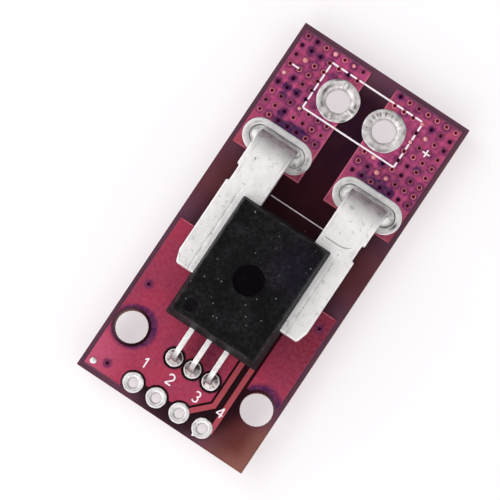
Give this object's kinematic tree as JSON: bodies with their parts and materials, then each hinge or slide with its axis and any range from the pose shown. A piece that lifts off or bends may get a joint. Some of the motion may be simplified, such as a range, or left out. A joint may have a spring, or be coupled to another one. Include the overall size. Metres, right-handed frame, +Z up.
{
  "type": "hall effect current sensor module",
  "caption": "Moulded Hall-effect current sensor with a folded primary conductor, soldered to a small circuit board with plated terminals, header holes and mounting holes.",
  "frame": {"origin": "middle of the board in plan, at the level of the lead tips that the module rests on", "axes": "+X across the board, +Y along its long side towards the current terminals, +Z up out of the component face"},
  "size_m": [0.0182, 0.0382, 0.0073],
  "materials": {
    "masked_laminate": "satin solder mask over glass-epoxy laminate",
    "masked_copper": "satin solder mask over copper",
    "tinned_plating": "hot-air levelled solder",
    "tinned_copper": "matte tin plate on copper",
    "solder": "bright solder",
    "black_moulding": "moulded epoxy",
    "core_metal": "soft magnetic metal",
    "silicon": "die on its paddle"
  },
  "bodies": {
    "root": {"board_laminate": "masked_laminate", "power_copper_minus": "masked_copper", "power_copper_plus": "masked_copper", "ground_copper": "masked_copper", "signal_track_3": "masked_copper", "signal_track_4": "masked_copper", "supply_track": "masked_copper", "output_track": "masked_copper", "header_ring_1": "tinned_plating", "header_ring_2": "tinned_plating", "header_ring_3": "tinned_plating", "header_ring_4": "tinned_plating", "signal_ring_1": "tinned_plating", "signal_ring_2": "tinned_plating", "signal_ring_3": "tinned_plating", "terminal_ring_minus": "tinned_plating", "terminal_ring_plus": "tinned_plating", "slot_ring_minus": "tinned_plating", "slot_ring_plus": "tinned_plating", "flux_core": "core_metal", "hall_chip": "silicon", "package_body": "black_moulding", "primary_conductor": "tinned_copper", "signal_lead_1": "tinned_copper", "signal_lead_2": "tinned_copper", "signal_lead_3": "tinned_copper", "slot_solder_minus": "solder", "slot_solder_plus": "solder", "signal_solder_1": "solder", "signal_solder_2": "solder", "signal_solder_3": "solder", "test_dot": "solder"}
  },
  "joints": []
}
